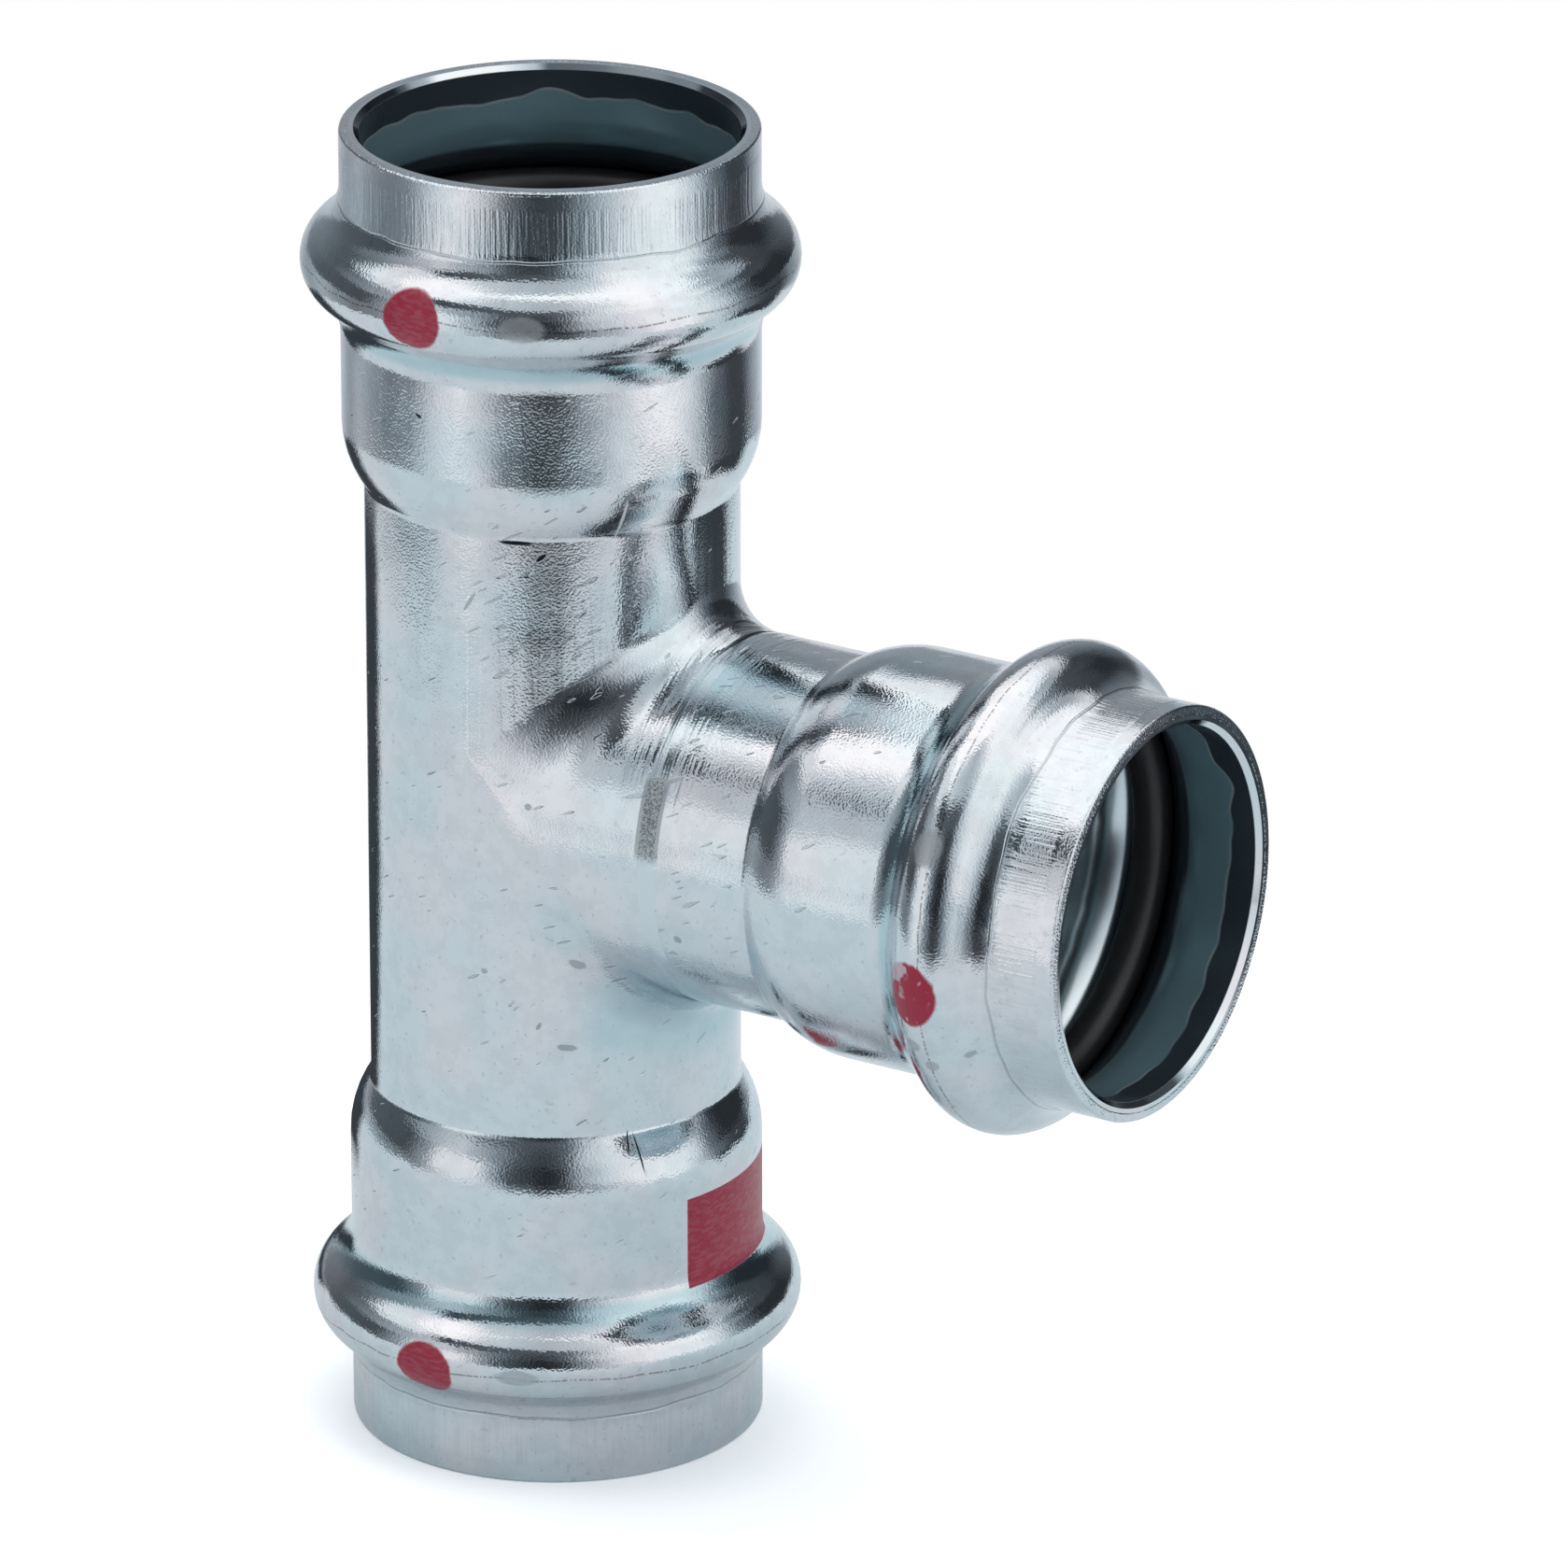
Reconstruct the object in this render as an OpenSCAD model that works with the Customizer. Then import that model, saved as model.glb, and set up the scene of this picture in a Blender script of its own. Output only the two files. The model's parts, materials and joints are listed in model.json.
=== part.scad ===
// Press tee for 28 mm pipe, equal on all three ends. Lengths in mm.
// The run stands along Z on its lower mouth, which is z = 0, and the branch points along +X.
// The tee body is one tube: both ends are widened into press sockets, and a collar is drawn
// out of its side. The branch socket is a second tube, butt welded to that collar. Each
// socket has a bead that holds a sealing ring.

/* [Pipe and wall] */
// outside diameter of the pipe that is pushed in, and of the tee's own tube
pipe_d = 28; // [22:0.5:35]
// thickness of the tube wall
wall = 1.5; // [1.2:0.1:2]

/* [Tee] */
// length of the run from mouth to mouth
run_len = 102.5; // [98:0.5:120]
// from the run's axis to the mouth of the branch
branch_reach = 53; // [49:0.5:65]

/* [Press socket] */
// gap round the pushed-in pipe, on the radius
pipe_gap = 0.1; // [0.08:0.02:0.2]
// straight lip between the mouth and the bead
lip_len = 4.3; // [3:0.1:6]
// straight part between the bead and the shoulder, which the pipe is gripped by
grip_len = 6.9; // [5:0.1:9]
// radius of the hollow curve on each side of the bead
bead_fillet_r = 3.9; // [3:0.1:5]
// outside radius of the shoulder that the pipe stops at
shoulder_r = 7.8; // [5:0.1:9]
// radius of the crease where the shoulder meets the tube
crease_r = 0.8; // [0.4:0.1:1.5]

/* [Mouth] */
// width of the chamfer inside the mouth, on the radius
chamfer_w = 0.4; // [0.2:0.1:0.9]
// depth of that chamfer along the bore
chamfer_len = 0.4; // [0.2:0.1:2]
// rounding of the mouth's outer edge
rim_r = 0.25; // [0.1:0.05:0.3]

/* [Sealing ring] */
// thickness of the rubber ring
ring_section = 2.9; // [2.4:0.1:3.3]
// room between the ring and its groove
ring_gap = 0.15; // [0.1:0.05:0.3]

/* [Collar and weld] */
// outside radius of the drawn collar at its top, where it stands square to the run
collar_r = 3.5; // [2:0.1:4]
// how far the collar's curve reaches from the corner at its sides, where it lies flat
side_blend = 5.5; // [4:0.5:7]
// how far the collar stands out from the tube's side
collar_h = 2.4; // [1.5:0.1:5]
// width of the weld seam along the branch
weld_w = 1.4; // [1:0.1:2.5]
// how far the seam stands proud outside
weld_crown = 0.05; // [0.05:0.05:0.4]
// how far the seam stands proud in the bore
weld_root = 0.15; // [0.05:0.05:0.3]

/* [Hidden] */
$fn = 120;

tube_r = pipe_d / 2;
bore_r = tube_r + pipe_gap;
socket_r = bore_r + wall;
// the bead is pressed round its ring: its groove leaves ring_gap all round the rubber
ring_r = tube_r + ring_section / 2;
groove_r = ring_section / 2 + ring_gap;
crest_r = groove_r + wall;
bead_rise = socket_r + bead_fillet_r - ring_r;
bead_half = sqrt(pow(crest_r + bead_fillet_r, 2) - pow(bead_rise, 2));
bead_a = atan2(bead_half, bead_rise);
bead_at = lip_len + bead_half;
socket_depth = bead_at + bead_half + grip_len;
// the shoulder bends in from the socket and meets the tube in a crease, tangent at both ends
crease_x = tube_r + crease_r - (socket_r - shoulder_r);
crease_y = sqrt(pow(shoulder_r + crease_r, 2) - pow(crease_x, 2));
shoulder_a = atan2(crease_y, crease_x);
socket_len = socket_depth + crease_y;
mid_z = run_len / 2;
collar_x = tube_r + collar_h;
weld_end_x = collar_x + weld_w;

steel = [0.72, 0.76, 0.79];
seam = [0.60, 0.63, 0.65];
rubber = [0.08, 0.08, 0.09];

// points on an arc round [x, y], from angle a to angle b
function arc(x, y, r, a, b, n) =
    [for (i = [0:n]) let (t = a + (b - a) * i / n) [x + r * cos(t), y + r * sin(t)]];

// Wall of a press socket as a half section: x is the radius, y the distance in from the mouth.
// The tube behind the shoulder goes on for tail.
function socket_wall(tail) = concat(
    [[bore_r + chamfer_w, 0]],
    arc(socket_r - rim_r, rim_r, rim_r, -90, 0, 3),
    arc(socket_r + bead_fillet_r, bead_at - bead_half, bead_fillet_r, 180, 180 - bead_a, 6),
    arc(ring_r, bead_at, crest_r, -bead_a, bead_a, 12),
    arc(socket_r + bead_fillet_r, bead_at + bead_half, bead_fillet_r, 180 + bead_a, 180, 6),
    arc(socket_r - shoulder_r, socket_depth, shoulder_r, 0, shoulder_a, 5),
    arc(tube_r + crease_r, socket_len, crease_r, 180 + shoulder_a, 180, 4),
    [[tube_r, socket_len + tail], [tube_r - wall, socket_len + tail]],
    arc(tube_r + crease_r, socket_len, crease_r + wall, 180, 180 + shoulder_a, 4),
    arc(socket_r - shoulder_r, socket_depth, shoulder_r - wall, shoulder_a, 0, 5),
    arc(socket_r + bead_fillet_r, bead_at + bead_half, bead_fillet_r + wall, 180, 180 + bead_a, 6),
    arc(ring_r, bead_at, groove_r, bead_a, -bead_a, 10),
    arc(socket_r + bead_fillet_r, bead_at - bead_half, bead_fillet_r + wall, 180 - bead_a, 180, 6),
    [[bore_r, chamfer_len]]
);

// a press socket with its mouth at z = 0, going in along +Z
module press_socket(tail) {
    rotate_extrude() polygon(socket_wall(tail));
}

// the sealing ring of such a socket
module sealing_ring() {
    translate([0, 0, bead_at]) rotate_extrude() translate([ring_r, 0]) circle(r = ring_section / 2);
}

// The drawn collar. In the corner between run and branch the skin is an arc at each angle t, with
// its centre as far from one axis as from the other. The arc starts on the run and ends on the
// branch, blend_w(t) past the corner both times. Seen along t, the corner opens from square at the
// top to flat at the sides, so the arcs grow from collar_r to nearly straight there. The inner
// skin has the same centres, so that the wall stays even all the way round the corner.
// The skin at radius r is laid in ribs, one for each angle t on either side of the branch: from
// just under the run's side, along the arc and out along the branch to x = reach. The ribs form
// one ring: the upper half with t rising, then the lower half with t falling.
rib_n = 48;
rows = 2 * (rib_n + 1);
arc_step = 8;
// the last rib at a side stops this short of the flat, so that each rib has an arc
side_a = 89;
// the first points of a rib lie this far under the run's side, and its root half a wall
ease = 0.004;
sink = wall / 2;
// the last points before the end, and how far the hole's cutter runs past the collar's edge
last_step = 0.3;
past_edge = 1;

function blend_w(t) = collar_r + (side_blend - collar_r) * (1 - cos(t));
function ball_at(t) = tube_r + blend_w(t) / cos(t);
function rib_k(j) = j <= rib_n ? j : rows - 1 - j;
function rib_t(j) = side_a * (2 * rib_k(j) / rib_n - 1);
function flip(p, j) = j <= rib_n ? p : [p[0], p[1], -p[2]];
function turned(t) = acos(pow(sin(t), 2));
// where on its arc a rib reaches x, as a share of the arc
function share_at(t, r, x) = let (f = turned(t), over = ball_at(t) * cos(t) - x)
    over <= 0 ? 1 : 1 - asin(over * sin(f) / ((ball_at(t) - r) * cos(t))) / f;
function on_arc(t, r, s) = let (f = turned(t), a = sin((1 - s) * f) / sin(f), b = sin(s * f) / sin(f))
    ball_at(t) * [cos(t), sin(t), cos(t)]
    - (ball_at(t) - r) * [a * cos(t), (a + b) * sin(t), b * cos(t)];
function on_run(t, r) = [r * cos(t), r * sin(t), ball_at(t) * cos(t)];
function rib_end(t, r, reach) = ball_at(t) * cos(t) <= reach
    ? [reach, r * sin(t), r * cos(t)]
    : on_arc(t, r, share_at(t, r, reach));
function steps(j) = max(1, ceil(turned(rib_t(j)) / arc_step));

// a rib's points: its root, one on the run's side, and one at the end of each step of its arc
function rib(t, n, r, reach) = let (e = share_at(t, r, reach - last_step)) concat(
    [on_run(t, r - sink), on_run(t, r - ease)],
    [for (i = [1:n]) on_arc(t, r, e * i / n)]
);
// the collar's edge all round comes first, then the ribs
function plug_points(r, reach) = concat(
    [for (j = [0:rows - 1]) flip(rib_end(rib_t(j), r, reach), j)],
    [for (j = [0:rows - 1]) for (p = rib(rib_t(j), steps(j), r, reach)) flip(p, j)]
);
starts = [for (j = 0, s = rows; j < rows; s = s + steps(j) + 2, j = j + 1) s];

// triangles between two rows of points that start at p and q and have m and n steps
function zip(p, m, q, n, i = 0, j = 0) = i == m && j == n ? []
    : j == n || (i < m && (i + 1) * n <= (j + 1) * m)
        ? concat([[p + i, q + j, p + i + 1]], zip(p, m, q, n, i + 1, j))
        : concat([[p + i, q + j, q + j + 1]], zip(p, m, q, n, i, j + 1));
function quad(a, b, c, d) = [[a, b, c], [a, c, d]];

skin_faces = [for (j = [0:rows - 1])
    let (i = (j + 1) % rows, a = starts[j], b = starts[i], m = steps(j), n = steps(i))
    each concat(
        quad(a, b, b + 1, a + 1),
        zip(a + 1, m, b + 1, n),
        quad(a + 1 + m, b + 1 + n, i, j)
    )];
// the roots of the upper half and the lower half are joined straight up and down
root_faces = [for (k = [0:rib_n - 1])
    each quad(starts[rows - 1 - k], starts[rows - 2 - k], starts[k + 1], starts[k])];
plug_faces = concat(skin_faces, root_faces, [[for (j = [0:rows - 1]) j]]);

// a plug with the collar's skin, which starts inside the wall of a run tube of radius r
module collar_plug(r, reach) {
    translate([0, 0, mid_z]) polyhedron(points = plug_points(r, reach), faces = plug_faces);
}

// the run's tube with a press socket at each end
module run_tube() {
    half_run = mid_z - socket_len;
    press_socket(half_run);
    translate([0, 0, run_len]) mirror([0, 0, 1]) press_socket(half_run);
}

// one tube: the run, and the collar that is drawn out of its side
module tee_body() {
    color(steel) difference() {
        union() {
            run_tube();
            collar_plug(tube_r, collar_x);
        }
        collar_plug(tube_r - wall, collar_x + past_edge);
    }
}

module on_branch() {
    translate([branch_reach, 0, mid_z]) rotate([0, -90, 0]) children();
}

// the branch's own tube, from its mouth in to the weld
module branch_socket() {
    color(steel) on_branch() press_socket(branch_reach - socket_len - weld_end_x);
}

// the seam between the collar's edge and the branch tube, a little proud outside and inside
module branch_weld() {
    crown = [for (i = [0:8]) [tube_r + weld_crown * sin(180 * i / 8), weld_w * i / 8]];
    root = [for (i = [6:-1:0]) [tube_r - wall - weld_root * sin(180 * i / 6), weld_w * i / 6]];
    color(seam) translate([collar_x, 0, mid_z]) rotate([0, 90, 0])
        rotate_extrude() polygon(concat(crown, root));
}

module lower_ring() {
    color(rubber) sealing_ring();
}

module upper_ring() {
    color(rubber) translate([0, 0, run_len]) mirror([0, 0, 1]) sealing_ring();
}

module branch_ring() {
    color(rubber) on_branch() sealing_ring();
}

tee_body();
branch_socket();
branch_weld();
lower_ring();
upper_ring();
branch_ring();
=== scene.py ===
# %% [markdown]
# # A press tee in bright zinc
#
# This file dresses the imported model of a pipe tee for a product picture.
# The tee is one formed steel tube with a press socket at each end, a side
# socket welded to a collar, and a black rubber ring in each socket. The
# model already has every form, so the lesson is about light, smooth
# shading and a metal finish that is drawn by nodes alone.
#
# It goes from the outside in: first the camera and the room that the steel
# mirrors, then the coordinates of the tee, then its finish, layer by layer.

import json
import math

import bpy
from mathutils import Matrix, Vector

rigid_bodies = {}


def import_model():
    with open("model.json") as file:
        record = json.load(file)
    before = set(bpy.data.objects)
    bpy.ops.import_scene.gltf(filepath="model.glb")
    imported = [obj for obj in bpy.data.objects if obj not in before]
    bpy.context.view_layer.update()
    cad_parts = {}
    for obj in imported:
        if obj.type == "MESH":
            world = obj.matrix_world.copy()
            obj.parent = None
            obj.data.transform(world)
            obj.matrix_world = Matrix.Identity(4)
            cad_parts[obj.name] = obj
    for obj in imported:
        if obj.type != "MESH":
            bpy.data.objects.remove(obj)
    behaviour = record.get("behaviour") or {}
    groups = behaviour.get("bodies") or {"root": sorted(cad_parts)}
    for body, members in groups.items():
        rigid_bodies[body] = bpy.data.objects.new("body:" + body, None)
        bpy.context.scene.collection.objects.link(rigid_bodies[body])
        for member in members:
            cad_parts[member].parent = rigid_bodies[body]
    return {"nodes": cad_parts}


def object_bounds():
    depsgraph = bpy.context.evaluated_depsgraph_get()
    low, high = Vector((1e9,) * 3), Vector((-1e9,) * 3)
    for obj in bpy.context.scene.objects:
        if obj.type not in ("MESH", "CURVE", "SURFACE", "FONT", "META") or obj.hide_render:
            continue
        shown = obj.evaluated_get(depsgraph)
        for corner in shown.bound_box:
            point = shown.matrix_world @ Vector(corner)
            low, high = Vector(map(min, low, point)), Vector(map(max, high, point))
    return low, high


for leftover in list(bpy.data.objects):
    bpy.data.objects.remove(leftover)

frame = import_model()
cad_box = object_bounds()
nodes = frame["nodes"]
MM = 0.001
print("nodes:", ", ".join(sorted(nodes)))
print("size in mm:", [round((b - a) / MM, 1) for a, b in zip(*cad_box)])

# %% [markdown]
# ## The camera
# A product photographer stands a step back with a long lens, so that the
# tee keeps its proportions. The camera could be turned by three angles, but
# a place and a point to look at are easier to read, and to change.

# %% Camera
CAMERA_AT = Vector((0.514913, -0.784706, 0.417751))
LOOKS_AT = Vector((0.018409, 0.003100, 0.053238))
LENS_MM = 308.52

lens = bpy.data.cameras.new("product_lens")
lens.lens = LENS_MM
lens.sensor_width = 36
lens.clip_start, lens.clip_end = 0.05, 20
camera = bpy.data.objects.new("product_camera", lens)
bpy.context.scene.collection.objects.link(camera)
camera.location = CAMERA_AT
camera.rotation_euler = (LOOKS_AT - CAMERA_AT).to_track_quat("-Z", "Y").to_euler()
bpy.context.scene.camera = camera
bpy.context.scene.view_settings.view_transform = "Standard"
print("camera distance in mm:", round((LOOKS_AT - CAMERA_AT).length / MM))

# %% [markdown]
# ## Sums instead of cables
# A finish such as plating is mostly arithmetic: a mask times a colour, one
# minus a mask. Cables between hundreds of nodes hide that arithmetic. One
# small class wraps a socket, so that a sum written in Python adds the Math
# nodes by itself, and any other node comes from its `node` method.

# %% The class that writes nodes
class Value:
    """A socket in a node tree that can be used in sums."""

    def __init__(self, tree, socket=None):
        self.tree = tree
        self.socket = socket

    def node(self, kind, settings=None, sockets=None, out=0):
        """Adds a node and links or sets its sockets; out says which output is meant."""
        made = self.tree.nodes.new(kind)
        for name, setting in (settings or {}).items():
            if name == "stops":
                fill_ramp(made.color_ramp, setting)
            else:
                setattr(made, name, setting)
        for name, value in (sockets or {}).items():
            if isinstance(value, Value):
                self.tree.links.new(value.socket, made.inputs[name])
            else:
                made.inputs[name].default_value = value
        return Value(self.tree, made.outputs[out] if made.outputs else None)

    def math(self, operation, *terms):
        return self.node("ShaderNodeMath", {"operation": operation}, dict(enumerate(terms)))

    def __add__(self, other):
        return self.math("ADD", self, other)

    def __sub__(self, other):
        return self.math("SUBTRACT", self, other)

    def __rsub__(self, other):
        return self.math("SUBTRACT", other, self)

    def __mul__(self, other):
        return self.math("MULTIPLY", self, other)

    def __truediv__(self, other):
        return self.math("DIVIDE", self, other)

    def __and__(self, other):
        return self.math("MINIMUM", self, other)

    def __or__(self, other):
        return self.math("MAXIMUM", self, other)

    def __abs__(self):
        return self.math("ABSOLUTE", self)

    __radd__ = __add__
    __rmul__ = __mul__


def fill_ramp(colours, stops):
    """Sets a colour ramp from pairs of place and grey level."""
    while len(colours.elements) < len(stops):
        colours.elements.new(0.5)
    for element, (where, level) in zip(colours.elements, stops):
        element.position = where
        element.color = (level, level, level, 1)


def ramp(value, start, end):
    """0 below start, 1 above end, and a soft step between; start may be the larger."""
    settings = {"interpolation_type": "SMOOTHSTEP"}
    return value.node("ShaderNodeMapRange", settings, {"Value": value, 1: start, 2: end})


def between(value, low, high, soft):
    """1 where value lies between low and high, with soft edges outside them."""
    return ramp(value, low - soft, low) * ramp(value, high + soft, high)


def blend_colours(mask, under, over):
    """Colour over, laid on colour under where the mask is 1."""
    return mask.node("ShaderNodeMix", {"data_type": "RGBA"}, {0: mask, 6: under, 7: over}, out=2)


def grain(vector, per_mm, detail=2.0, rough=0.5):
    """Noise between 0 and 1 with about per_mm grains to a millimetre."""
    sockets = {"Vector": vector, "Scale": per_mm, "Detail": detail, "Roughness": rough}
    return vector.node("ShaderNodeTexNoise", {"normalize": True}, sockets)


BLACK = (0, 0, 0, 1)
WHITE = (1, 1, 1, 1)
print("node class ready")

# %% [markdown]
# ## The studio
# Polished metal shows the room more than itself, so the room comes first.
# Lamps alone would leave most of the steel black. Here the world is the
# studio, built of rings around the tee. A ring is written as pairs: an
# angle in degrees, measured from the camera with plus to its right, and how
# bright the room is there.
#
# - At eye level a white panel stands on the left and a wide one on the
#   right. Between them is the dark gap where the camera stands, and behind
#   on the right a black flag.
# - The raised ring has the same panels, the left one grey by now.
# - The high ring is bright behind the tee and on the right. A dark beam
#   crosses it on the left.
# - The overhead ring leads into the white ceiling.
#
# The last ring is the studio floor, beyond the sheet that the tee stands on.

# %% Levels of the room
EYE_LEVEL = [
    (-180, 0.34), (-150, 0.20), (-128, 0.11), (-92, 0.08), (-77, 0.36), (-70, 0.82), (-45, 0.88),
    (-36, 0.50), (-26, 0.10), (-8, 0.02), (4, 0.05), (20, 0.54), (34, 0.82), (48, 0.95),
    (72, 0.95), (84, 0.76), (96, 0.18), (108, 0.03), (140, 0.03), (156, 0.14), (180, 0.34)]
RAISED = [
    (-180, 0.28), (-150, 0.15), (-130, 0.10), (-108, 0.24), (-82, 0.42), (-68, 0.58), (-58, 0.66),
    (-50, 0.50), (-38, 0.36), (-22, 0.10), (-8, 0.05), (6, 0.12), (18, 0.62), (36, 0.86), (52, 0.92),
    (70, 1.08), (84, 0.84), (97, 0.34), (110, 0.08), (142, 0.05), (158, 0.17), (180, 0.28)]
HIGH = [
    (-180, 0.88), (-157, 1.04), (-125, 0.95), (-105, 0.84), (-82, 0.80), (-73, 0.56), (-68, 0.04),
    (-58, 0.08), (-37, 0.11), (-7, 0.10), (8, 0.15), (22, 0.62), (37, 0.98), (60, 1.05), (90, 1.00),
    (104, 0.50), (112, 0.40), (128, 0.50), (145, 0.75), (180, 0.88)]
OVERHEAD = [
    (-180, 1.15), (-140, 1.10), (-112, 1.15), (-80, 1.12), (-66, 1.00), (-52, 0.70), (-22, 0.58),
    (0, 0.52), (22, 0.65), (37, 0.82), (52, 1.08), (97, 1.12), (127, 1.00), (180, 1.15)]
OUTER_FLOOR = [
    (-180, 0.62), (-157, 0.45), (-142, 0.32), (-127, 0.44), (-112, 0.31), (-97, 0.20), (-80, 0.26),
    (-66, 0.66), (-52, 0.90), (-37, 0.66), (-22, 0.20), (-7, 0.05), (7, 0.08), (22, 0.38),
    (37, 0.70), (52, 0.96), (68, 1.00), (82, 0.70), (97, 0.19), (112, 0.06), (128, 0.06),
    (142, 0.28), (157, 0.52), (180, 0.72)]
CEILING, CEILING_LEAN, CEILING_EDGE = 1.15, 0.23, (0.885, 0.93)
ROOM_LIGHT = 1.18
DARK_TINT = (0.84, 0.98, 1.12, 1)
print("stops around the tee:", sum(map(len, (EYE_LEVEL, RAISED, HIGH, OVERHEAD, OUTER_FLOOR))))

# %% [markdown]
# A direction becomes a level in two steps. `bearing` says how far round the
# tee it points, and `ring` looks that turn up in a list. How high it points
# then chooses between the rings.

# %% From a direction to a level
towards = Vector((CAMERA_AT.x - LOOKS_AT.x, CAMERA_AT.y - LOOKS_AT.y, 0)).normalized()
right_hand = Vector((-towards.y, towards.x, 0))


def along(vector, axis):
    """How far a vector reaches along a fixed axis."""
    sockets = {0: vector, 1: tuple(axis)}
    return vector.node("ShaderNodeVectorMath", {"operation": "DOT_PRODUCT"}, sockets, out="Value")


def bearing(vector):
    """The direction of a vector as a turn: 0.5 at the camera, more to its right."""
    return vector.math("ARCTAN2", along(vector, right_hand), along(vector, towards)) / math.tau + 0.5


def ring(turn, levels):
    """Brightness around the tee, from pairs of angle and level."""
    stops = [((degrees + 180) / 360, level) for degrees, level in levels]
    return turn.node("ShaderNodeValToRGB", {"stops": stops}, {"Fac": turn})


def room_colour(light):
    """A grey level as a colour: the dark parts of the room are a little bluer."""
    tint = blend_colours(light, DARK_TINT, WHITE)
    settings = {"data_type": "RGBA", "blend_type": "MULTIPLY"}
    return light.node("ShaderNodeMix", settings, {0: 1.0, 6: light, 7: tint}, out=2)


print("camera bearing:", [round(part, 3) for part in towards])

# %% Studio world
world = bpy.data.worlds.new("studio")
bpy.context.scene.world = world
world.use_nodes = True
world.node_tree.nodes.clear()
sky = Value(world.node_tree)

ray = sky.node("ShaderNodeTexCoord", out="Generated")
up = along(ray, (0, 0, 1))
room_turn = bearing(ray)
walls = ring(room_turn, EYE_LEVEL)
# each ring takes over between two heights, given as how steeply a ray rises
for levels, start, end in ((RAISED, 0.31, 0.39), (HIGH, 0.56, 0.63), (OVERHEAD, 0.74, 0.80)):
    walls = blend_colours(ramp(up, start, end), walls, ring(room_turn, levels))

# the ceiling leans back, so it starts lower behind the tee than over the camera
lean = (Vector((0, 0, 1)) - CEILING_LEAN * towards).normalized()
under_ceiling = ramp(along(ray, lean), *CEILING_EDGE)
room = room_colour(blend_colours(under_ceiling, walls, (CEILING, CEILING, CEILING, 1)))

# the camera itself sees plain white
seen_by_camera = sky.node("ShaderNodeLightPath", out="Is Camera Ray")
backdrop = blend_colours(seen_by_camera, room, WHITE)
shine = sky.node("ShaderNodeBackground", None, {"Color": backdrop, "Strength": ROOM_LIGHT})
sky.node("ShaderNodeOutputWorld", None, {"Surface": shine})
print("studio nodes:", len(world.node_tree.nodes))

# %% [markdown]
# ## The floor
# The tee stands on a round white sheet. To the camera the whole floor is
# white except for the tee's own soft shadow. The steel mirrors the sheet
# as far as its edge, with two black cards that lie behind the tee, one on
# each side. They draw the dark lines along the edges of the steel that
# keep it apart from the white. Towards the camera the sheet lies in its
# shade. Past the sheet the steel mirrors the grey studio floor.
#
# Cards and shade are written as two angles round the tee, as the rings of
# the room are, and how soft both ends are. Lengths on the floor are metres
# from the tee's axis.

# %% Floor plane
FLOOR_SIDE = 4
SHEET_R, SHEET_EDGE = 0.21, 0.008
SHEET_COLOUR = (0.80, 0.865, 0.895, 1)
SHEET_GLOW = 0.12
LEFT_CARD, LEFT_FROM = (-162, -136, 7), (0.052, 0.062)
RIGHT_CARD, RIGHT_FROM = (97, 130, 5), (0.132, 0.150)
CARD_COLOUR = (0.05, 0.06, 0.07, 1)
CAMERA_SHADE, SHADE_FROM, SHADE_DEPTH = (-10, 4, 10), (0.145, 0.175), 0.45
SHADOW_CATCHER = (1.8, 1.8, 1.8, 1)
WHITE_FROM, WHITE_BEYOND = 0.05, 0.12

bpy.ops.mesh.primitive_plane_add(size=FLOOR_SIDE, location=(0, 0, cad_box[0][2]))
floor = bpy.context.object
floor.name = "floor"
paint = bpy.data.materials.new("floor_paint")
paint.use_nodes = True
paint.node_tree.nodes.clear()
floor.data.materials.append(paint)
print("floor at z =", round(cad_box[0][2], 4))

# %% Sheet and cards
ground = Value(paint.node_tree)
spot = ground.node("ShaderNodeTexCoord", out="Object")
far = ground.node("ShaderNodeVectorMath", {"operation": "LENGTH"}, {0: spot}, out="Value")
floor_turn = bearing(spot)
degrees = (floor_turn - 0.5) * 360
to_camera = ground.node("ShaderNodeLightPath", out="Is Camera Ray")
mirrored = ground.node("ShaderNodeLightPath", out="Is Glossy Ray")

left_card = between(degrees, *LEFT_CARD) * ramp(far, *LEFT_FROM)
right_card = between(degrees, *RIGHT_CARD) * ramp(far, *RIGHT_FROM)
in_shade = between(degrees, *CAMERA_SHADE) * ramp(far, *SHADE_FROM) * SHADE_DEPTH
cards = mirrored * (left_card | right_card | in_shade)
to_steel = blend_colours(cards, SHEET_COLOUR, CARD_COLOUR)
matt = ground.node("ShaderNodeBsdfDiffuse", None, {
    "Color": blend_colours(to_camera, to_steel, SHADOW_CATCHER)})
glow = ground.node("ShaderNodeEmission", None, {
    "Color": blend_colours(mirrored, BLACK, to_steel), "Strength": SHEET_GLOW})
sheet = ground.node("ShaderNodeAddShader", None, {0: matt, 1: glow})
print("sheet radius in mm:", round(SHEET_R / MM))

# %% White to the camera, grey to the steel beyond the sheet
white = ground.node("ShaderNodeEmission", None, {"Color": WHITE, "Strength": 1.0})
outer = ground.node("ShaderNodeEmission", None, {
    "Color": room_colour(ring(floor_turn, OUTER_FLOOR)), "Strength": ROOM_LIGHT})
to_white = to_camera * ramp(far, WHITE_FROM, WHITE_BEYOND)
off_sheet = mirrored * ramp(far, SHEET_R - SHEET_EDGE, SHEET_R + SHEET_EDGE)
shown = ground.node("ShaderNodeMixShader", None, {0: to_white, 1: sheet, 2: white})
surface = ground.node("ShaderNodeMixShader", None, {0: off_sheet, 1: shown, 2: outer})
ground.node("ShaderNodeOutputMaterial", None, {"Surface": surface})
print("floor nodes:", len(paint.node_tree.nodes))

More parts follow.
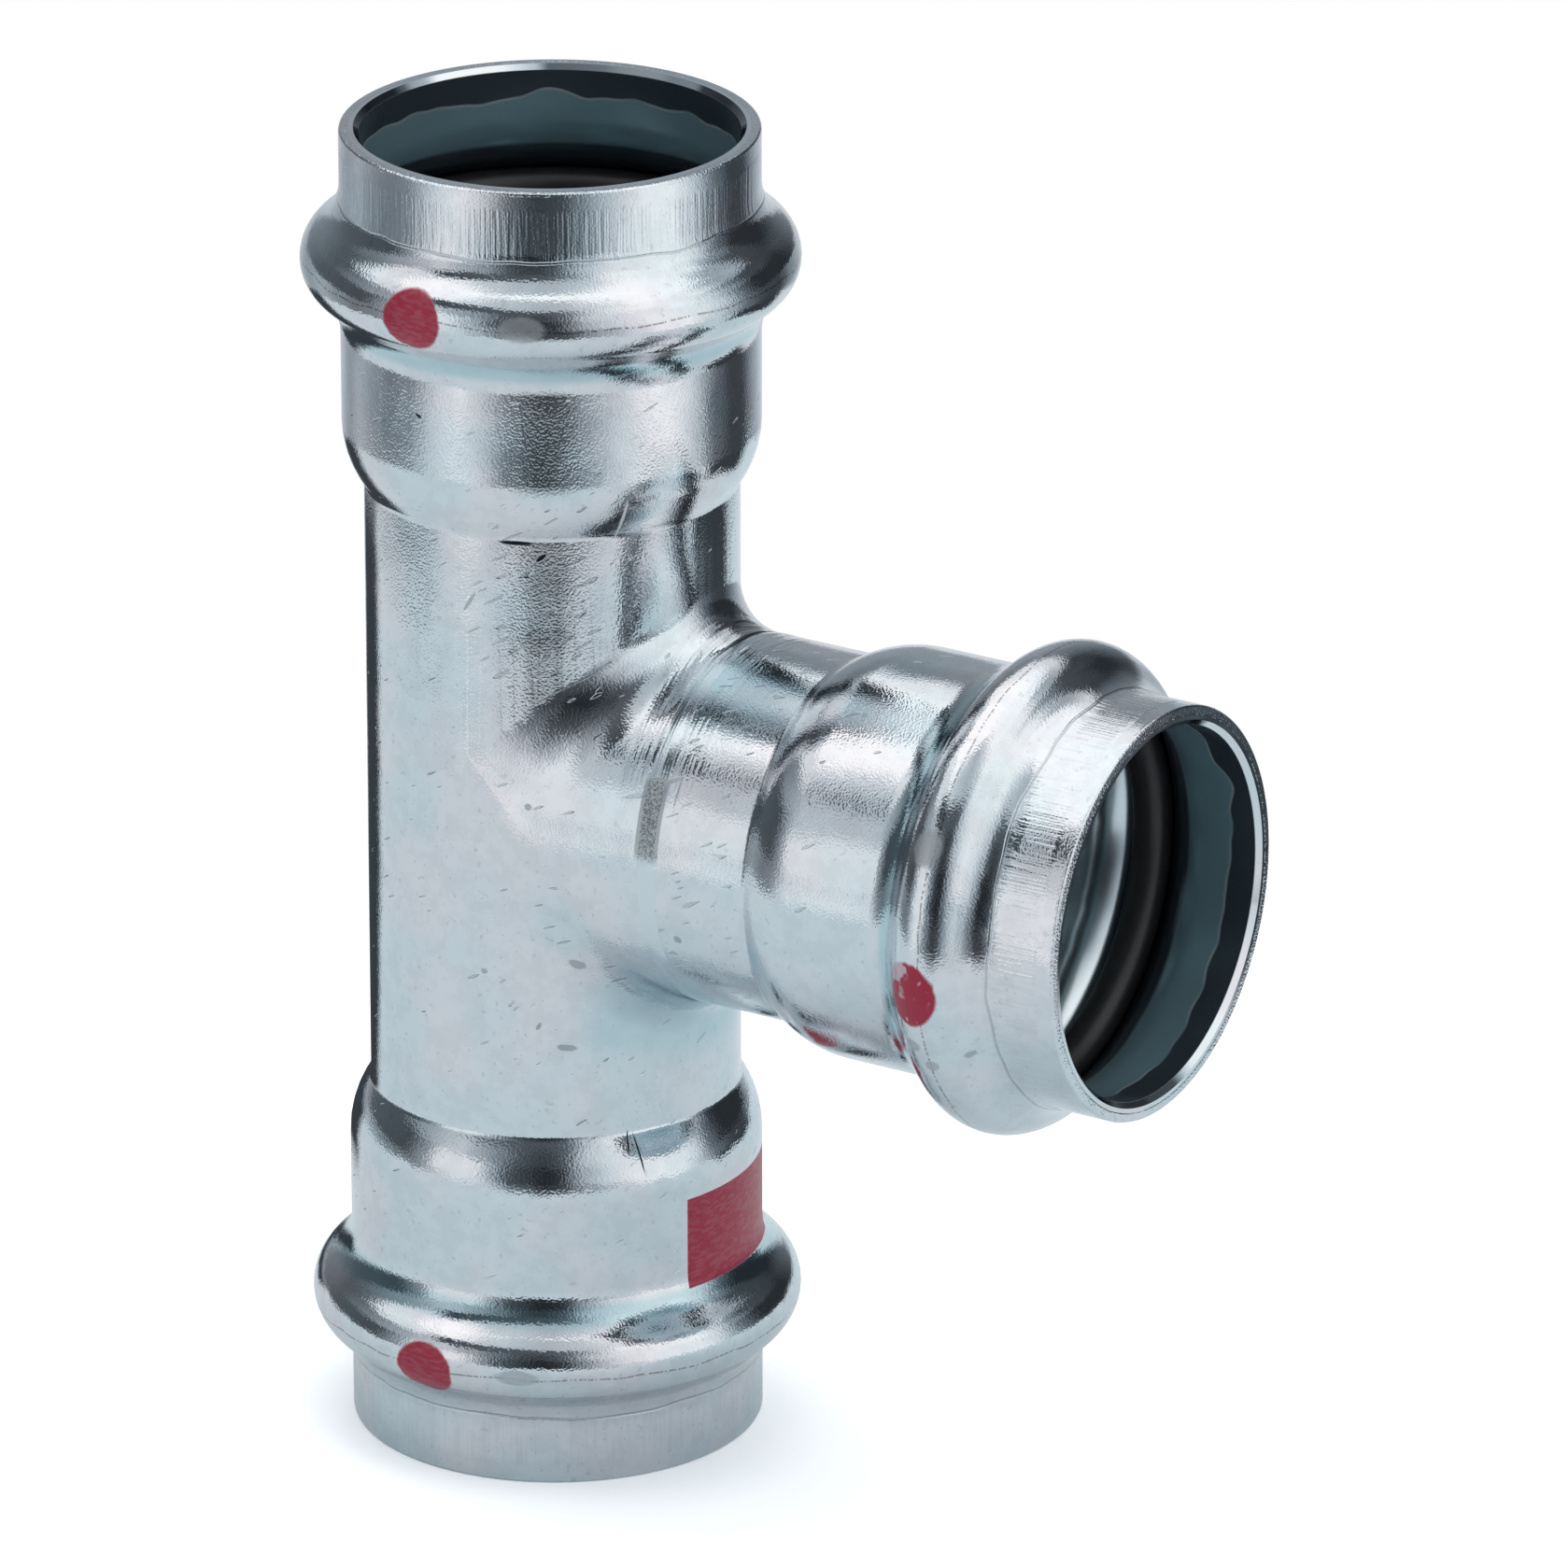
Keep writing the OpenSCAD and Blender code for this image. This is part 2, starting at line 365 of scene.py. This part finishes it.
# %% [markdown]
# ## Smooth steel
# The model arrives as loose triangles. Lit as they are, the long flat ones
# would show on the round tube. Three modifiers shade it smoothly and leave
# the mesh itself alone: Weld joins the triangles, Edge Split keeps the true
# edges hard, and Weighted Normal lets the large faces set the shading.

# %% Smooth shading on the CAD nodes
JOIN_MM = 0.001
HARD_EDGE_DEG = 28

for name, piece in nodes.items():
    join = piece.modifiers.new("join", "WELD")
    join.merge_threshold = JOIN_MM * MM
    split = piece.modifiers.new("hard_edges", "EDGE_SPLIT")
    split.split_angle = math.radians(HARD_EDGE_DEG)
    normals = piece.modifiers.new("shading", "WEIGHTED_NORMAL")
    normals.weight = 100
    print(name, "triangles:", len(piece.data.polygons))

# %% [markdown]
# ## Places on the tee
# Marks lie at a height and an angle on a tube, so the material first turns
# a point into those two numbers. The run stands on Z and its angle starts
# at +X, where the branch is. The branch lies along X, at half the height of
# the run, and its angle starts at the side that faces -Y. A third number,
# the depth, says how far a point is from the nearest mouth. All three
# sockets are alike, so one depth serves them all.

# %% The tee's own coordinates
HALF_RUN = cad_box[1][2] / 2 / MM
REACH = cad_box[1][0] / MM
TUBE_R = 14.0
DEGREE = math.radians(1)
PER_DEG = DEGREE * TUBE_R


class Place:
    """Where a point lies on one of the tee's tubes, in millimetres and degrees."""

    def __init__(self, tree, on_branch):
        start = Value(tree)
        self.on_branch = on_branch
        metres = start.node("ShaderNodeTexCoord", out="Object")
        scale = {"operation": "SCALE"}
        self.point = start.node("ShaderNodeVectorMath", scale, {0: metres, "Scale": 1 / MM})
        self.x = start.node("ShaderNodeSeparateXYZ", None, {0: self.point})
        self.y = Value(tree, self.x.socket.node.outputs[1])
        self.z = Value(tree, self.x.socket.node.outputs[2])
        self.level = self.z - HALF_RUN
        self.off_branch = self.length(self.y, self.level)
        turn = self.x.math("ARCTAN2", self.level, -1 * self.y)
        self.round_branch = turn / DEGREE
        if on_branch:
            self.along, self.radius, self.depth = self.x, self.off_branch, REACH - self.x
        else:
            self.along, self.radius = self.z, self.length(self.x, self.y)
            self.depth = HALF_RUN - abs(self.level)
            turn = self.x.math("ARCTAN2", self.y, self.x)
        self.around = turn / DEGREE
        self.flat = self.x.node("ShaderNodeCombineXYZ", None, {"X": turn * TUBE_R, "Y": self.along})

    def length(self, a, b):
        return a.math("SQRT", a * a + b * b)

    def scaled(self, x, y, z):
        """The point with each of its axes scaled."""
        settings = {"operation": "MULTIPLY"}
        return self.point.node("ShaderNodeVectorMath", settings, {0: self.point, 1: (x, y, z)})

    def stretched(self, across, along):
        """The point scaled across the tube and along it, for streaks and waves."""
        if self.on_branch:
            return self.scaled(along, across, across)
        return self.scaled(across, across, along)


print("half run and reach in mm:", round(HALF_RUN, 2), round(REACH, 2))

# %% A new finish
def new_finish(name, on_branch=False):
    """An empty material and the place of its points."""
    made = bpy.data.materials.new(name)
    made.use_nodes = True
    made.node_tree.nodes.clear()
    return made, Place(made.node_tree, on_branch)


def close_finish(place, sockets, height_mm):
    """Adds the shader, with a bump from a height in millimetres."""
    bump = {"Height": height_mm, "Strength": 1.0, "Distance": MM}
    sockets["Normal"] = height_mm.node("ShaderNodeBump", None, bump)
    shader = place.point.node("ShaderNodeBsdfPrincipled", None, sockets)
    place.point.node("ShaderNodeOutputMaterial", None, {"Surface": shader})


print("finishes can start")

# %% [markdown]
# ## Marks on the flat
# A tube rolled out flat turns into a sheet, and on a sheet any mark is a
# small drawing. `blot` draws an ellipse at an angle and a height, and
# `dashes` strews short slanted cuts: it stretches a noise and keeps only
# its peaks. Both work in millimetres on the flat. `frayed` pushes the
# points of the sheet about, so that what is drawn on it gets a rough edge.

# %% Blots and dashes
DASH_STRETCH = 5.0
FRAY_PER_MM, FRAY_MM = 1.4, 0.13


def blot(flat, angle, height, half_deg, half_mm, tilt=0.0, soft=0.2):
    """1 inside an ellipse on the flat tube, tilted by degrees."""
    wide = half_deg * PER_DEG
    at = (angle * PER_DEG, height)
    if tilt:
        near = flat.node("ShaderNodeMapping", {"vector_type": "TEXTURE"}, {
            "Vector": flat, "Location": (*at, 0),
            "Rotation": (0, 0, math.radians(tilt)), "Scale": (wide, half_mm, 1)})
    else:
        near = flat.node("ShaderNodeVectorMath", {"operation": "MULTIPLY_ADD"}, {
            0: flat, 1: (1 / wide, 1 / half_mm, 0), 2: (-at[0] / wide, -at[1] / half_mm, 0)})
    out = near.node("ShaderNodeVectorMath", {"operation": "LENGTH"}, {0: near}, out="Value")
    return ramp(out, 1 + soft, 1 - soft)


def blots(flat, marks):
    """All the blots of a list in one mask."""
    mask = blot(flat, *marks[0])
    for mark in marks[1:]:
        mask = mask | blot(flat, *mark)
    return mask


def dashes(flat, tilt, per_mm, keep):
    """Short cuts that slant by tilt degrees; a larger keep leaves more of them."""
    turned = flat.node("ShaderNodeMapping", {"vector_type": "TEXTURE"}, {
        "Vector": flat, "Rotation": (0, 0, math.radians(tilt)), "Scale": (DASH_STRETCH, 1, 1)})
    settings = {"normalize": True, "noise_dimensions": "2D"}
    sockets = {"Vector": turned, "Scale": per_mm, "Detail": 0.0}
    noise = turned.node("ShaderNodeTexNoise", settings, sockets)
    return ramp(noise, 0.80 - keep, 0.87 - keep)


def frayed(flat):
    """The flat tube with its points pushed about."""
    push = (grain(flat, FRAY_PER_MM, 1.0, 0.6) - 0.5) * (2 * FRAY_MM)
    return flat.node("ShaderNodeVectorMath", {"operation": "ADD"}, {0: flat, 1: push})


print("millimetres to a degree on the flat:", round(PER_DEG, 3))

# %% [markdown]
# ## Bright zinc
# Zinc plating is a thin bluish metal over drawn steel, here a little
# bluer and there a little pinker. It isn't a mirror: its crystals give it
# a fine grain that breaks up a dark reflection into salt and pepper, while
# a bright one stays clean. A bump at the size of the grain does that by
# itself.
#
# `Coat` is a finish while it is built up. `lay` puts a layer over what is
# there, as a painter would. `raise_by` adds to the height, which goes into
# one bump at the end. The coat also knows which points are inside the tee:
# they lie nearer to the axis than the middle of the wall, and the middle
# of the wall is lifted by the bead and lowered by the shoulder.
#
# A stretch of depth is written as `between` takes it: where it starts, where
# it ends and how soft both ends are. Strengths are shares of 1, and heights
# are millimetres.

# %% Colours of the finish
ZINC_BLUE = (0.645, 0.715, 0.75, 1)
ZINC_PINK = (0.725, 0.72, 0.745, 1)
# dull zinc for pits, mottle and cuts, also laid as painted shade in the foot crease
ZINC_SPOT_AND_SHADE = (0.38, 0.42, 0.45, 1)
# teal of the painted reflections, also laid as painted shade under the branch
TEAL_REFLECTION = (0.36, 0.57, 0.62, 1)
BARE_INSIDE = (0.20, 0.32, 0.37, 1)
LIGHT_INSIDE = (0.64, 0.71, 0.74, 1)
DARK_BAND_AND_SHADE = (0.045, 0.065, 0.080, 1)
EDGE_LINE = (0.40, 0.46, 0.48, 1)
GREY_PATCH = (0.44, 0.47, 0.49, 1)
FRESH_CUT = (0.95, 0.97, 1.0, 1)
DARK_NICK = (0.02, 0.025, 0.03, 1)
CREASE_BROWN = (0.20, 0.17, 0.16, 1)
WELD_SAND = (0.41, 0.445, 0.455, 1)
WELD_DARK = (0.27, 0.30, 0.31, 1)
WELD_LIGHT = (0.62, 0.66, 0.68, 1)
PAINT_RED = (0.40, 0.010, 0.045, 1)
RUBBER_BLACK = (0.012, 0.012, 0.014, 1)
RUBBER_BLOOM = (0.03, 0.03, 0.033, 1)
print("zinc from", ZINC_BLUE[:3], "to", ZINC_PINK[:3])

# %% A coat in layers
WALL_R = 14.875
BEAD, BEAD_RISE = (9.8, 10.2, 5.0), 2.95
SHOULDER, SHOULDER_DROP = (22.6, 27.6), 1.6
SWELL_MM = 0.16


class Coat:
    """Colour, roughness, metal and height of a finish while it is built up."""

    def __init__(self, place):
        self.place = place
        tint = grain(place.point, 0.13, 1.0, 0.5)
        self.colour = blend_colours(ramp(tint, 0.36, 0.66), ZINC_BLUE, ZINC_PINK)
        self.rough = 0.05 + 0.06 * tint
        self.metal = 1.0
        self.height = tint * SWELL_MM

        bead = between(place.depth, *BEAD)
        shoulder = ramp(place.depth, *SHOULDER)
        wall = WALL_R + BEAD_RISE * bead - SHOULDER_DROP * shoulder
        self.inside = ramp(place.radius - wall, 0.075, -0.075)
        self.outside = 1 - self.inside

    def lay(self, mask, colour, rough=None, metal=None):
        """Lays a layer over what is there, where the mask is 1."""
        self.colour = blend_colours(mask, self.colour, colour)
        if rough is not None:
            self.rough = mask.node("ShaderNodeMix", None, {0: mask, 2: self.rough, 3: rough})
        if metal is not None:
            self.metal = mask.node("ShaderNodeMix", None, {0: mask, 2: self.metal, 3: metal})

    def raise_by(self, millimetres):
        """Adds to the height of the surface; less than 0 cuts into it."""
        self.height = self.height + millimetres

    def scratch(self, mask, deep_mm):
        """Grey cuts where the mask is 1, sunk into the surface."""
        self.lay(mask, ZINC_SPOT_AND_SHADE)
        self.raise_by(mask * -deep_mm)

    def close(self):
        sockets = {"Base Color": self.colour, "Roughness": self.rough, "Metallic": self.metal}
        close_finish(self.place, sockets, self.height)


print("wall radius in mm:", WALL_R, "and in the bead:", WALL_R + BEAD_RISE)

# %% [markdown]
# ## What all three sockets show
# Outside, the plating has its grain, a few pits and a cloudy mottle. The
# rollers that formed the bead left fine rings on it. The die left streaks
# along the lip, a crease at the foot of the bead and a broken brown one
# near its crest. Painted shade darkens the crease at the foot, and the
# bead's back fillet carries a painted teal reflection.

# %% Outside of the tubes
LIP = (1.7, 5.0, 0.5)
FOOT = (5.33, 5.40, 0.12)
CREST = (9.62, 9.66, 0.09)
FILLET_REFLECTION = (13.5, 14.2, 0.8)
RINGS = (6.0, 14.0, 0.8)
GRAIN_MM, RIM_GRAIN_MM, RING_MM = 0.011, 0.018, 0.010
STREAK_MM, CREASE_MM = 0.042, 0.04


def plate_outside(coat):
    """Grain, pits and mottle everywhere, and rings on the bead."""
    place, outside = coat.place, coat.outside
    fine = grain(place.point, 6.0, 0.0)
    rings = grain(place.stretched(0.12, 2.4), 1.0, 0.0)
    pits = ramp(grain(place.point, 1.8, 1.0, 0.6), 0.66, 0.74)
    mottle = ramp(grain(place.point, 0.55, 3.0, 0.7), 0.40, 0.62)
    coat.lay(pits * outside * 0.35, ZINC_SPOT_AND_SHADE)
    coat.lay(mottle * outside * 0.16, ZINC_SPOT_AND_SHADE)
    rim = ramp(place.depth, 0.40, 0.15)
    on_bead = between(place.depth, *RINGS)
    coat.raise_by(outside * (fine * (GRAIN_MM + RIM_GRAIN_MM * rim) + on_bead * rings * RING_MM))


def draw_lip(coat, wave):
    """Lip streaks, a foot crease darkened by painted shade, a brown crease near the crest, a painted
    teal reflection on the fillet.
    """
    depth, outside = coat.place.depth, coat.outside
    streaks = grain(coat.place.stretched(3.5, 0.16), 1.0, 1.0, 0.7)
    on_lip = between(depth, *LIP) * outside
    foot = between(depth + wave * 0.7, *FOOT) * outside
    coat.raise_by(on_lip * streaks * STREAK_MM - foot * CREASE_MM)
    coat.lay(on_lip * ramp(streaks, 0.50, 0.62) * 0.12, ZINC_SPOT_AND_SHADE)
    # painted shade darkens the crease at the foot
    coat.lay(foot * 0.6, ZINC_SPOT_AND_SHADE)
    crest = between(depth + wave * 0.9, *CREST) * ramp(streaks, 0.40, 0.52)
    coat.lay(crest * outside * 0.75, CREASE_BROWN)
    # painted teal reflection on the bead's back fillet
    coat.lay(between(depth, *FILLET_REFLECTION) * outside * 0.6, TEAL_REFLECTION)


print("grain height in mm:", GRAIN_MM)

# %% [markdown]
# The inside of a socket is bare. Its first millimetres are dark, up to a
# wavy line with one notch. Painted shade darkens the ring's groove, and
# past it the wall is bright again. Painted shade darkens the bevel of the
# mouth, except over a part of its round where it keeps its zinc.

# %% Inside of the sockets
GROOVE_SHADE = (6.5, 11.6, 0.5)
DARK_BAND_MM = 2.45
NOTCH_MM, NOTCH_DEG = 0.8, 11.0


def bare_inside(coat, wave, notch, bright_at, bright_half):
    """The bare inside, its dark band with a dip at notch, painted shade in the groove, and on the
    bevel except around bright_at.
    """
    place, depth = coat.place, coat.place.depth
    bevel = ramp(place.radius, 14.53, 14.48) * ramp(depth, 0.46, 0.42)
    off = place.around.math("WRAP", place.around - bright_at, 180.0, -180.0)
    bright = ramp(abs(off), bright_half + 5, bright_half)
    # painted shade on the bevel, except around bright_at
    coat.lay(bevel * (1 - bright) * 0.8, DARK_BAND_AND_SHADE)
    coat.lay(coat.inside * ramp(depth, 0.38, 0.42), BARE_INSIDE, rough=0.22, metal=0.35)
    # painted shade in the ring's groove
    coat.lay(coat.inside * between(depth, *GROOVE_SHADE), DARK_BAND_AND_SHADE)
    coat.lay(coat.inside * ramp(depth, 11.8, 12.4), LIGHT_INSIDE, rough=0.2, metal=1.0)

    dip = ramp(abs(place.around - notch), NOTCH_DEG, 0.0) * NOTCH_MM
    edge = DARK_BAND_MM + wave * 1.5 - dip - depth
    mouth = coat.inside * ramp(depth, 0.34, 0.45)
    coat.lay(mouth * ramp(edge, -0.15, 0.10), DARK_BAND_AND_SHADE, rough=0.22, metal=0.35)
    line = between(edge, -0.14, -0.06, 0.12) * ramp(wave, -0.25, 0.08)
    coat.lay(mouth * line * 0.8, EDGE_LINE)


def plated(place, notch, bright_at, bright_half):
    """The coat that run and branch have in common."""
    coat = Coat(place)
    wave = grain(place.stretched(0.22, 0.0), 1.0, 1.0, 0.6) - 0.5
    plate_outside(coat)
    draw_lip(coat, wave)
    bare_inside(coat, wave, notch, bright_at, bright_half)
    return coat


# width of the dark band inside the mouth, in millimetres
print("burnt edge in mm:", DARK_BAND_MM)

# %% [markdown]
# ## Traces of the weld
# The weld was ground off in part, and the wheel's brush marks run around
# the branch on both sides of it. On the side that faces the camera the
# wheel missed a short piece, which is still sandy. All angles here go round
# the branch, also on the run.

# %% Traces of the weld
WELD = (16.15, 18.05, 0.12)
SANDY = (8.0, 28.0, 5.0)
UNDER_SHADE = (-118.0, -62.0, 22.0)
BRUSH_MM = 0.09


def brush_marks(place):
    """Noise drawn out around the branch."""
    return grain(place.scaled(2.2, 0.22, 0.22), 1.0, 1.0, 0.7)


def grind(coat, where):
    """The wheel's brush marks, from the sandy piece up."""
    marks = brush_marks(coat.place)
    ground_off = where * ramp(coat.place.round_branch, 14.0, 36.0) * coat.outside
    coat.raise_by(ground_off * marks * BRUSH_MM)
    coat.lay(ground_off * ramp(marks, 0.46, 0.62) * 0.45, ZINC_SPOT_AND_SHADE)


def paint_shade_below(coat, where):
    """Painted shade under the branch, in the teal of the painted reflections."""
    below = between(coat.place.round_branch, *UNDER_SHADE)
    coat.lay(where * below * coat.outside * 0.5, TEAL_REFLECTION)


def sandy_weld(place):
    """1 on the piece of the weld that the wheel missed."""
    return between(place.x, *WELD) * between(place.round_branch, *SANDY)


print("weld in mm from the run's axis:", WELD[0], "to", WELD[1])

# %% [markdown]
# ## The run
# The list of marks is the part of a finish that no formula gives. Each
# was read off the picture of the tee: an angle, a height, half a
# width in degrees, half a height in millimetres and, for some, a tilt and
# how soft the edge is. The red dots are dabs of paint with one straight
# side, and the red field on the lower socket goes on round the back.

# %% Marks on the run
RUN_PATCHES = [(-63.6, 92.9, 5.3, 0.95), (-66.4, 9.8, 4.9, 0.6)]
RUN_SPOTS = [
    (-50.5, 41.75, 2.7, 0.36, -22), (-53.4, 34.8, 3.1, 0.24, -8), (-64.1, 54.5, 1.0, 0.25),
    (-79.0, 40.6, 1.0, 0.25, 20), (-62.0, 36.5, 1.3, 0.16, 60), (-82.8, 69.8, 0.55, 0.9, -32)]
RUN_NICKS = [
    (-67.8, 74.8, 5.2, 0.16), (-35.0, 26.8, 0.30, 0.85, -8), (-32.1, 26.0, 0.28, 1.4, 7),
    (-60.2, 73.7, 1.9, 0.16, 38), (-95.5, 84.2, 1.1, 0.12, -25)]
RUN_CUTS = [(-36.7, 76.5, 0.5, 1.7, -8), (-52.3, 86.5, 0.8, 0.1, 12)]
CROWDED = (-60, 69.5, 20, 7.5, 0, 0.6)
PAST_BEAD = (15, 18)
RUN_DOTS = [(-90.6, 92.65, 7.6, 2.25, 0, 0.06), (-90.0, 9.35, 7.6, 2.15, 0, 0.06)]
DOT_SIDE = -82.4
FIELD_ROUND = (-17.8, 31.0, 0.25)
FIELD_TALL = (14.5, 21.6, 0.08)
print("marks on the run:", sum(map(len, (RUN_PATCHES, RUN_SPOTS, RUN_NICKS, RUN_CUTS, RUN_DOTS))))

# %% Zinc on the run
run_zinc, place = new_finish("zinc_run")
coat = plated(place, notch=121.9, bright_at=148, bright_half=20)
grind(coat, ramp(place.x, 13.6, 15.2) * ramp(place.off_branch, 17.5, 15.5))
# painted shade under the branch
paint_shade_below(coat, ramp(place.x, 6.0, 11.0) * ramp(place.off_branch, 21.0, 17.0))
coat.lay(sandy_weld(place) * coat.outside * 0.85, WELD_SAND, rough=0.42)

# short cuts from handling: many above the branch, few elsewhere, none on the bead
crowded = blot(place.flat, *CROWDED)
cuts = dashes(place.flat, 28, 2.6, 0.17 * crowded - 0.05) * coat.outside
coat.scratch(cuts * ramp(place.depth, *PAST_BEAD) * 0.6, deep_mm=0.05)
print("zinc on the run, nodes so far:", len(run_zinc.node_tree.nodes))

# %% Wear and paint on the run
flat = frayed(place.flat)
coat.lay(blots(flat, RUN_SPOTS), GREY_PATCH, rough=0.35)
coat.lay(blots(place.flat, RUN_CUTS), FRESH_CUT, rough=0.5)
coat.lay(blots(place.flat, RUN_NICKS), DARK_NICK, rough=0.5)
coat.lay(blots(flat, RUN_PATCHES) * 0.7, GREY_PATCH, rough=0.42, metal=0.6)

dots = blots(flat, RUN_DOTS) & ramp(place.around, DOT_SIDE, DOT_SIDE - 0.8)
field = between(place.around, *FIELD_ROUND) * between(place.along, *FIELD_TALL)
brushed = ramp(grain(place.stretched(1.2, 3.5), 1.0, 1.0), 0.30, 0.62)
painted = (dots | field) * coat.outside * (0.93 + 0.07 * brushed)
coat.lay(painted, PAINT_RED, rough=0.36, metal=0.1)
coat.close()
nodes["tee_body"].data.materials[0] = run_zinc
print("finish:", run_zinc.name, "nodes:", len(run_zinc.node_tree.nodes))

# %% [markdown]
# ## The branch
# The branch has the same plating and the same kinds of marks. Its top
# carries a painted teal reflection where it leaves the weld, and a part of
# its red dot is worn off.

# %% Marks on the branch
BRANCH_PATCHES = [(27.6, 42.9, 4.2, 1.15), (-21.0, 42.3, 1.6, 0.6), (-26.6, 43.5, 1.5, 0.5)]
BRANCH_SPOTS = [(-19.7, 19.42, 1.3, 0.35, 50), (-25.7, 45.9, 1.0, 0.35)]
BRANCH_DOT = (-7.3, 42.4, 8.0, 2.2, 0, 0.06)
BRANCH_DOT_SIDE = 40.5
WORN_OFF = (-1.5, 41.0, 4.5, 1.2, 20, 0.6)
TOP_REFLECTION = (66, 19.0, 22, 4.5, 0, 0.9)
print("marks on the branch:", len(BRANCH_PATCHES) + len(BRANCH_SPOTS) + 1)

# %% Zinc on the branch
branch_zinc, place = new_finish("zinc_branch", on_branch=True)
coat = plated(place, notch=158.4, bright_at=-151, bright_half=91)
grind(coat, ramp(place.along, 21.0, 18.8))
# painted shade under the branch
paint_shade_below(coat, ramp(place.along, 36.0, 26.0))

# short cuts from handling, most of them near the weld
near_weld = ramp(place.along, 27.0, 22.0)
cuts = dashes(place.flat, 62, 2.4, 0.09 * near_weld - 0.06) * coat.outside
coat.scratch(cuts * ramp(place.depth, *PAST_BEAD) * 0.5, deep_mm=0.035)
coat.lay(sandy_weld(place) * coat.outside * 0.85, WELD_SAND, rough=0.42)
print("zinc on the branch, nodes so far:", len(branch_zinc.node_tree.nodes))

# %% Wear and paint on the branch
flat = frayed(place.flat)
# painted teal reflection on the top of the branch, past the weld
coat.lay(blot(flat, *TOP_REFLECTION) * 0.45, TEAL_REFLECTION)
coat.lay(blots(flat, BRANCH_SPOTS), GREY_PATCH, rough=0.4)
coat.lay(blots(flat, BRANCH_PATCHES) * 0.8, GREY_PATCH, rough=0.42, metal=0.6)

dot = blot(flat, *BRANCH_DOT) & ramp(place.along, BRANCH_DOT_SIDE - 0.3, BRANCH_DOT_SIDE)
worn = ramp(grain(flat, 1.3, 1.0, 0.6) + 0.45 * blot(place.flat, *WORN_OFF), 0.62, 0.80)
coat.lay(dot * coat.outside * (1 - 0.6 * worn), PAINT_RED, rough=0.36, metal=0.1)
coat.close()
nodes["branch_socket"].data.materials[0] = branch_zinc
print("finish:", branch_zinc.name, "nodes:", len(branch_zinc.node_tree.nodes))

# %% [markdown]
# ## The seam
# The weld is a narrow bead under the same plating, with the same sandy
# piece and the same brush marks as on the tubes beside it.

# %% Weld
seam, place = new_finish("weld_bead", on_branch=True)
sand = grain(place.point, 4.6, 2.0, 0.75)
sandy = sandy_weld(place)
brushed = ramp(place.round_branch, 24.0, 34.0) * brush_marks(place)
bead = blend_colours(ramp(sand, 0.35, 0.65), WELD_DARK, WELD_LIGHT)
close_finish(place, {
    "Base Color": blend_colours(sandy, ZINC_BLUE, bead),
    "Roughness": 0.12 + 0.32 * sandy, "Metallic": 1.0},
    sand * (0.012 + 0.12 * sandy) + brushed * BRUSH_MM)
nodes["branch_weld"].data.materials[0] = seam
print("finish:", seam.name)

# %% [markdown]
# ## The rings
# Moulded rubber is nearly black, with a soft sheen and the faintest bloom.

# %% Rubber
rubber, place = new_finish("seal_rubber_black")
bloom = grain(place.point, 0.8, 3.0)
close_finish(place, {
    "Base Color": blend_colours(bloom, RUBBER_BLACK, RUBBER_BLOOM),
    "Roughness": 0.34 + bloom * 0.12}, grain(place.point, 6.0) * 0.004)
for name in ("lower_ring", "upper_ring", "branch_ring"):
    nodes[name].data.materials[0] = rubber
print("finish:", rubber.name)
